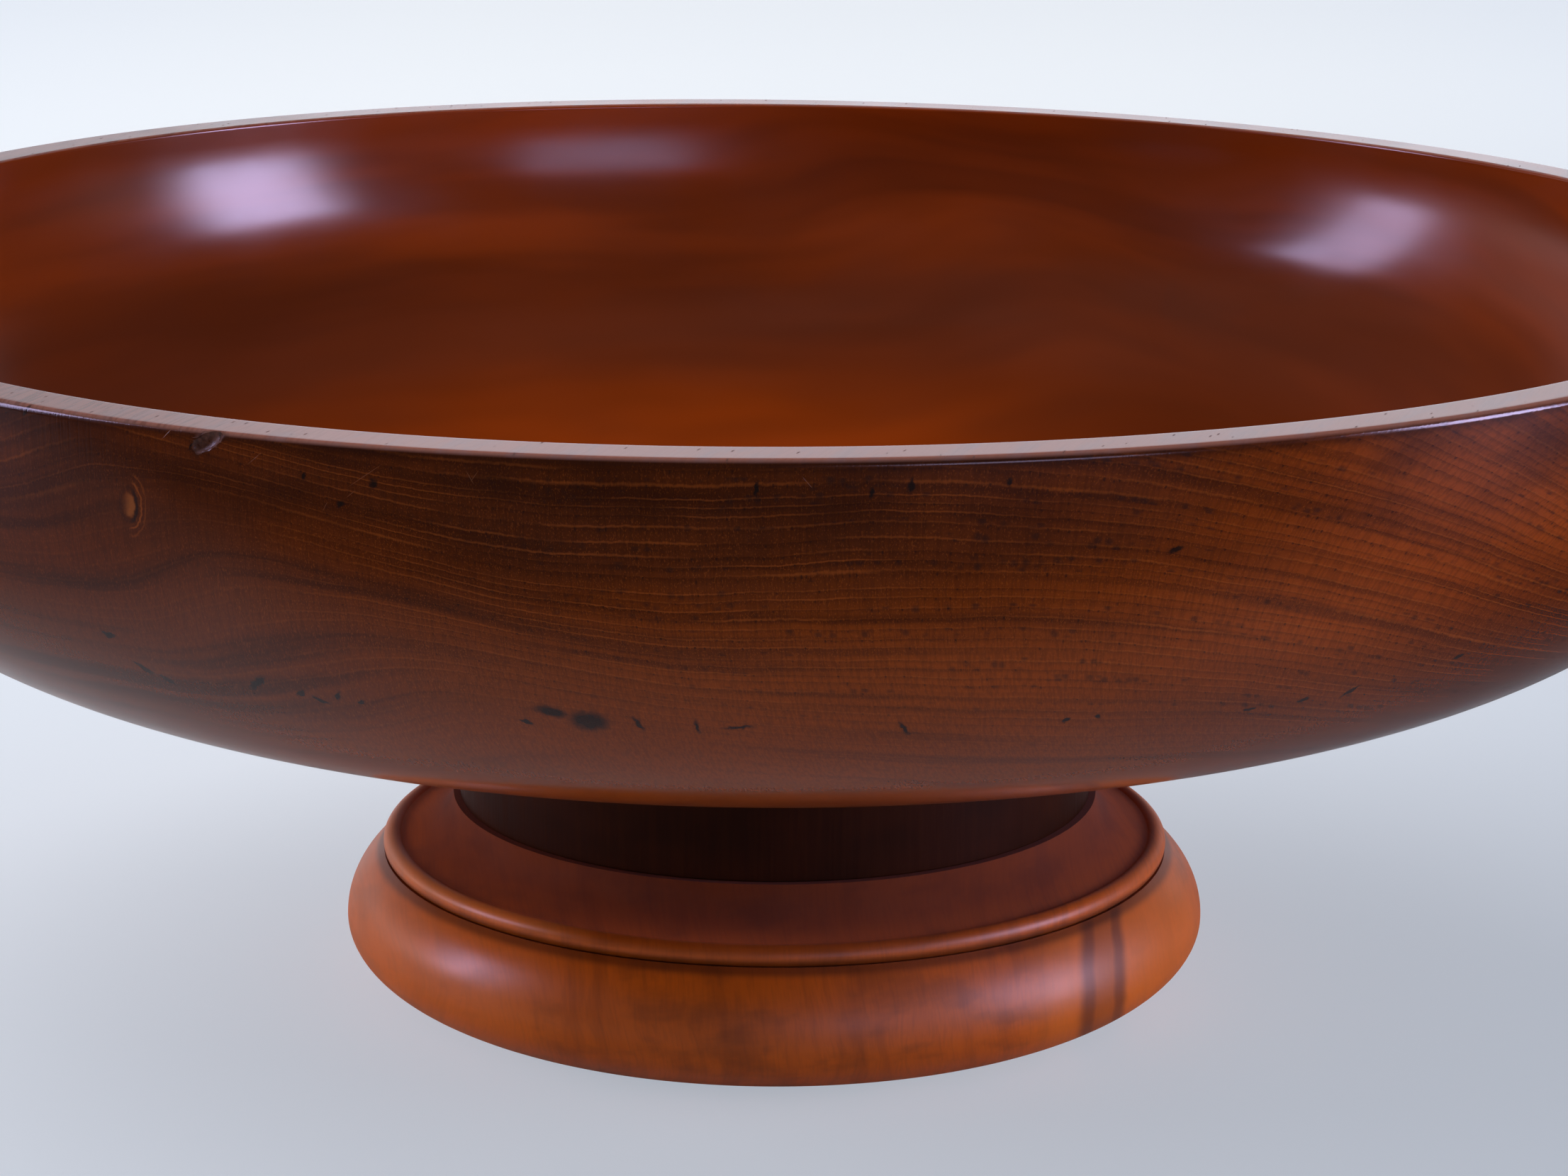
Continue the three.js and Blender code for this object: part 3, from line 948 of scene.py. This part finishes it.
def make_lamp(name, tint, level, azimuth, elevation, width, height, gloss=True):
    """A soft rectangle of light, seen from the platter in this direction and this wide and high, in degrees.

    The azimuth runs from the front towards the right. A level of 1 makes it as bright as white. A lamp
    either shows in the gloss, as the windows do, or lights the surfaces themselves, as the key does.
    """
    distance = 1.5
    a, e = math.radians(azimuth), math.radians(elevation)
    lamp = bpy.data.lights.new(name, "AREA")
    lamp.shape = "RECTANGLE"
    lamp.size = 2 * distance * math.tan(math.radians(width) / 2)
    lamp.size_y = 2 * distance * math.tan(math.radians(height) / 2)
    lamp.energy = level * math.pi * lamp.size * lamp.size_y
    lamp.color = tint
    holder = bpy.data.objects.new(name, lamp)
    aim = Vector((0, 0, 90 * MM))
    away = Vector((math.sin(a) * math.cos(e), -math.cos(a) * math.cos(e), math.sin(e)))
    holder.location = aim + away * distance
    holder.rotation_euler = away.to_track_quat("Z", "Y").to_euler()
    holder.visible_camera = False
    holder.visible_glossy = gloss
    holder.visible_diffuse = not gloss
    bpy.context.collection.objects.link(holder)


def make_air(stage):
    """Even light from overhead. Gloss shows a dim room instead, with a low white sweep behind the platter."""
    world = bpy.data.worlds.new("air")
    world.use_nodes = True
    world.node_tree.nodes.clear()
    add = node_adder(world.node_tree)
    right, back, up = add("SeparateXYZ", add("TexCoord", out="Generated"), out=None)
    sweep_light = zone(add, (back, -0.1, 0.5), (right, 0.75, 0.40), (up, 0.55, 0.34))
    half_sweep = stage.sweep_strength * 0.5
    sweep_level = add("MapRange", up, 0.24, 0.13, half_sweep, stage.sweep_strength)
    less_at_left = add("MapRange", right, -0.16, -0.10, 0.6, 1.0)
    sweep_level = add("Math", sweep_level, less_at_left, operation="MULTIPLY")
    mirrored = add("MapRange", sweep_light, 0.0, 1.0, stage.room_strength, sweep_level)
    overhead = add("MapRange", up, 0.1, 0.95, stage.air_strength * 0.6, stage.air_strength, **SOFT)
    level = add("Mix", add("LightPath", out="Is Glossy Ray"), at={NUMBER_A: overhead, NUMBER_B: mirrored})
    add("OutputWorld", add("Background", (*stage.air, 1), level))
    bpy.context.scene.world = world


def make_camera(stage):
    """The photograph's view, as a plain camera."""
    e, roll = math.radians(stage.elevation), math.radians(stage.roll)
    forward = Vector((0, math.cos(e), -math.sin(e)))
    right = Vector((1, 0, 0))
    up = right.cross(forward)
    turned_right = right * math.cos(roll) + up * math.sin(roll)
    turned_up = up * math.cos(roll) - right * math.sin(roll)
    target = Vector((stage.target_x, 0, stage.target_z))
    camera = bpy.data.objects.new("camera", bpy.data.cameras.new("camera"))
    camera.data.lens = stage.lens
    camera.data.sensor_width = 36.0
    camera.data.sensor_fit = "HORIZONTAL"
    camera.data.clip_end = 20.0
    axes = Matrix((turned_right, turned_up, -forward)).transposed()
    camera.matrix_world = Matrix.Translation((target - forward * stage.distance) * MM) @ axes.to_4x4()
    bpy.context.collection.objects.link(camera)
    bpy.context.scene.camera = camera


# Lamps: a name, a share of its level, then azimuth, elevation, width and height in degrees

WINDOWS = (
    ("window_right", 2.05, 76, 15, 18, 26),
    ("window_left", 1.1, -90, 23, 13, 32),
    ("window_front", 0.42, 24, 11, 22, 14),
)
SOFT_LAMPS = (
    ("side_right", 4.9, 86, 6.5, 40, 11),
    ("side_left", 4.4, -104, 6.5, 40, 11),
    ("key_behind", 1.0, -140, 58, 60, 50),
)


# Operators and panel

class PLATTER_OT_bowl(bpy.types.Operator):
    """Turn the bowl, chip its rim and finish it in waxed mahogany"""
    bl_idname = "platter.bowl"
    bl_label = "Bowl"

    def execute(self, context):
        bowl, wood = context.scene.platter_bowl, context.scene.platter_wood
        bm = turn(bowl_profile(bowl))
        warp(bm, bowl)
        chip = placed(bowl, -26.0, 111.9, 32, (2.6, 1.2, 1.1), outward=0.4)
        nick = placed(bowl, -36.6, 112.5, 60, (1.1, 0.9, 0.3), outward=0.2)
        gouge(bm, chip, finer=7)
        gouge(bm, nick)
        finish_piece(bm, "turned_bowl", waxed_mahogany(bowl, wood, chip, nick), "bowl")
        return {"FINISHED"}


class PLATTER_OT_neck(bpy.types.Operator):
    """Turn the dark neck between bowl and foot"""
    bl_idname = "platter.neck"
    bl_label = "Neck"

    def execute(self, context):
        scene = context.scene
        profile = neck_profile(scene.platter_neck, scene.platter_bowl.seat_height, scene.platter_foot.height)
        finish_piece(turn(profile), "dark_neck", stained_neck(scene.platter_wood), "neck")
        return {"FINISHED"}


class PLATTER_OT_foot(bpy.types.Operator):
    """Turn the foot with its torus, groove, bead and cove"""
    bl_idname = "platter.foot"
    bl_label = "Foot"

    def execute(self, context):
        scene = context.scene
        profile = foot_profile(scene.platter_foot, scene.platter_neck.radius)
        material = moulded_foot_wood(scene.platter_foot, scene.platter_wood)
        finish_piece(turn(profile), "moulded_foot", material, "foot")
        return {"FINISHED"}


class PLATTER_OT_stage(bpy.types.Operator):
    """Set the pale floor, the soft light and the camera"""
    bl_idname = "platter.stage"
    bl_label = "Stage"

    def execute(self, context):
        stage = context.scene.platter_stage
        make_floor(stage)
        for name, share, *place in WINDOWS:
            make_lamp(name, stage.window, stage.window_strength * share, *place)
        for name, share, *place in SOFT_LAMPS:
            make_lamp(name, stage.key, stage.key_strength * share, *place, gloss=False)
        make_air(stage)
        make_camera(stage)
        context.scene.view_settings.view_transform = "Standard"
        return {"FINISHED"}


OPERATORS = (PLATTER_OT_bowl, PLATTER_OT_neck, PLATTER_OT_foot, PLATTER_OT_stage)
SETTINGS = {
    "platter_bowl": BowlSettings,
    "platter_neck": NeckSettings,
    "platter_foot": FootSettings,
    "platter_wood": WoodSettings,
    "platter_stage": StageSettings,
}


class PLATTER_PT_panel(bpy.types.Panel):
    """Lists the platter's pieces and their sizes and colours"""
    bl_idname = "PLATTER_PT_panel"
    bl_label = "Footed platter"
    bl_space_type = "VIEW_3D"
    bl_region_type = "UI"
    bl_category = "Platter"

    def draw(self, context):
        for operator in OPERATORS:
            self.layout.operator(operator.bl_idname)
        for name, group in SETTINGS.items():
            box = self.layout.box()
            for prop in group.__annotations__:
                box.prop(getattr(context.scene, name), prop)


def register():
    for group in SETTINGS.values():
        bpy.utils.register_class(group)
    for name, group in SETTINGS.items():
        setattr(bpy.types.Scene, name, bpy.props.PointerProperty(type=group))
    for operator in OPERATORS:
        bpy.utils.register_class(operator)
    bpy.utils.register_class(PLATTER_PT_panel)


def unregister():
    bpy.utils.unregister_class(PLATTER_PT_panel)
    for operator in OPERATORS:
        bpy.utils.unregister_class(operator)
    for name, group in SETTINGS.items():
        delattr(bpy.types.Scene, name)
        bpy.utils.unregister_class(group)


def main():
    register()
    bpy.ops.platter.bowl()
    bpy.ops.platter.neck()
    bpy.ops.platter.foot()
    bpy.ops.platter.stage()


if __name__ == "__main__":
    main()
